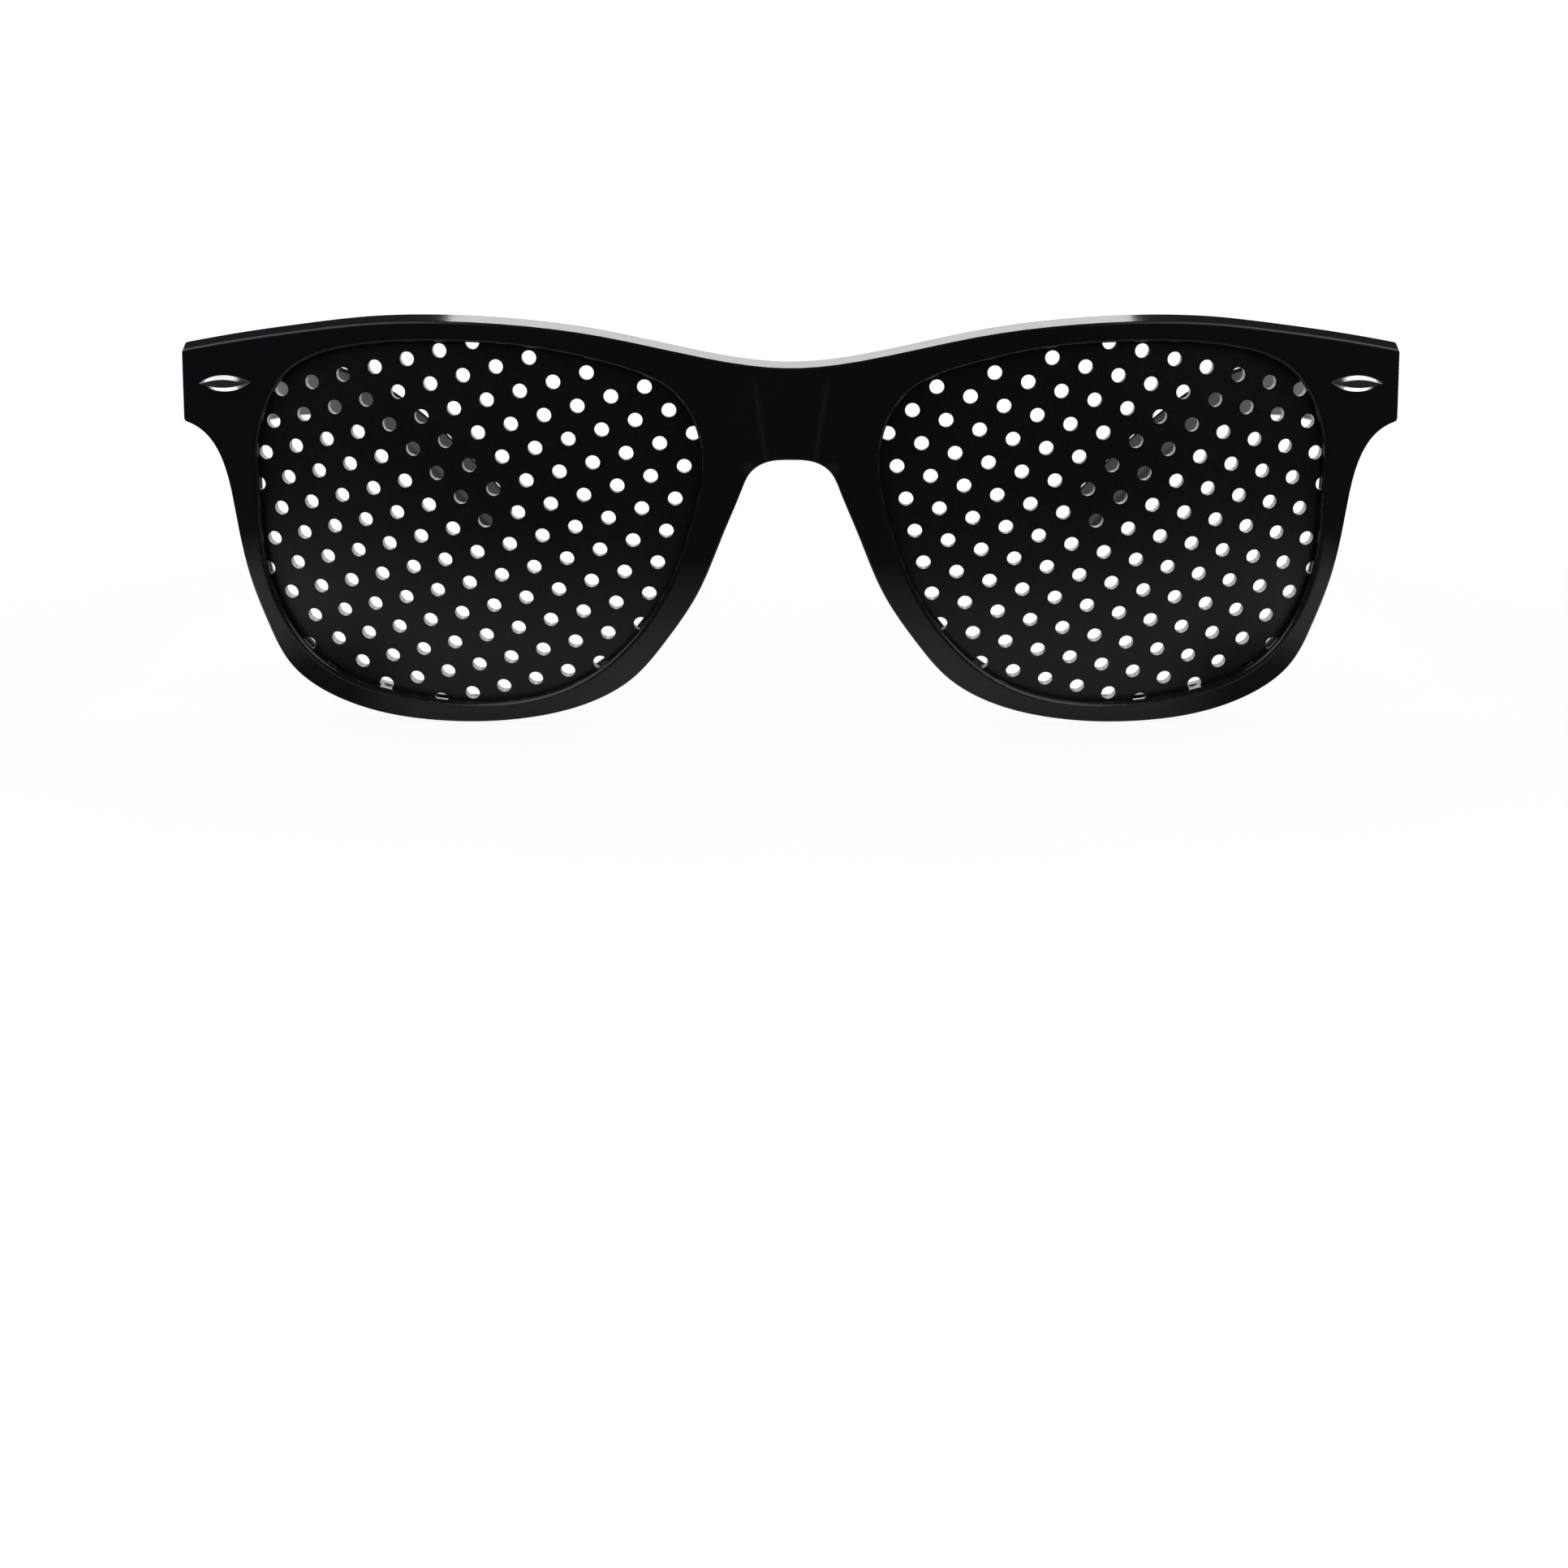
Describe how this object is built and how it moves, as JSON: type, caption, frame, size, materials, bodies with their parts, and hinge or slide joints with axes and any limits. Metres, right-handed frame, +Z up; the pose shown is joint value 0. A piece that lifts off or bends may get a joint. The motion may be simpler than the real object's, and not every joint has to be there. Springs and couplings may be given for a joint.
{
  "type": "pinhole glasses",
  "caption": "Square full-rim glasses with perforated opaque sheets in place of lenses, almond metal studs and folding temples on barrel hinges.",
  "frame": {"origin": "middle of the bottom of the bounding box, on the surface that the open pair stands on with its rims and temple tips", "axes": "the rims face -Y, the temples run to +Y, +X is the wearer's left, +Z is up; X = 0 is the plane of mirror symmetry"},
  "size_m": [0.148, 0.1444, 0.0507],
  "materials": {
    "frame_plastic": "glossy black moulded plastic",
    "sheet_plastic": "satin black moulded sheet",
    "stud_metal": "polished bright plating",
    "hinge_metal": "stamped and rolled nickel-plated metal",
    "screw_metal": "turned steel"
  },
  "bodies": {
    "front": {"front_frame": "frame_plastic", "pinhole_lens_left": "sheet_plastic", "pinhole_lens_right": "sheet_plastic", "front_stud_left": "stud_metal", "front_stud_right": "stud_metal", "front_hinge_leaf_left": "hinge_metal", "front_hinge_leaf_right": "hinge_metal", "hinge_screw_left": "screw_metal", "hinge_screw_right": "screw_metal"},
    "left_temple": {"temple_left": "frame_plastic", "temple_stud_left": "stud_metal", "temple_hinge_leaf_left": "hinge_metal"},
    "right_temple": {"temple_right": "frame_plastic", "temple_stud_right": "stud_metal", "temple_hinge_leaf_right": "hinge_metal"}
  },
  "joints": [
    {"name": "left_temple_fold", "type": "hinge", "parent": "front", "child": "left_temple", "pos_m": [0.06845, -0.0517, 0.04025], "axis": [0, 0.1452, 0.9894], "range_deg": [0, 79]},
    {"name": "right_temple_fold", "type": "hinge", "parent": "front", "child": "right_temple", "pos_m": [-0.06845, -0.0517, 0.04025], "axis": [0, -0.1452, -0.9894], "range_deg": [0, 72]}
  ]
}
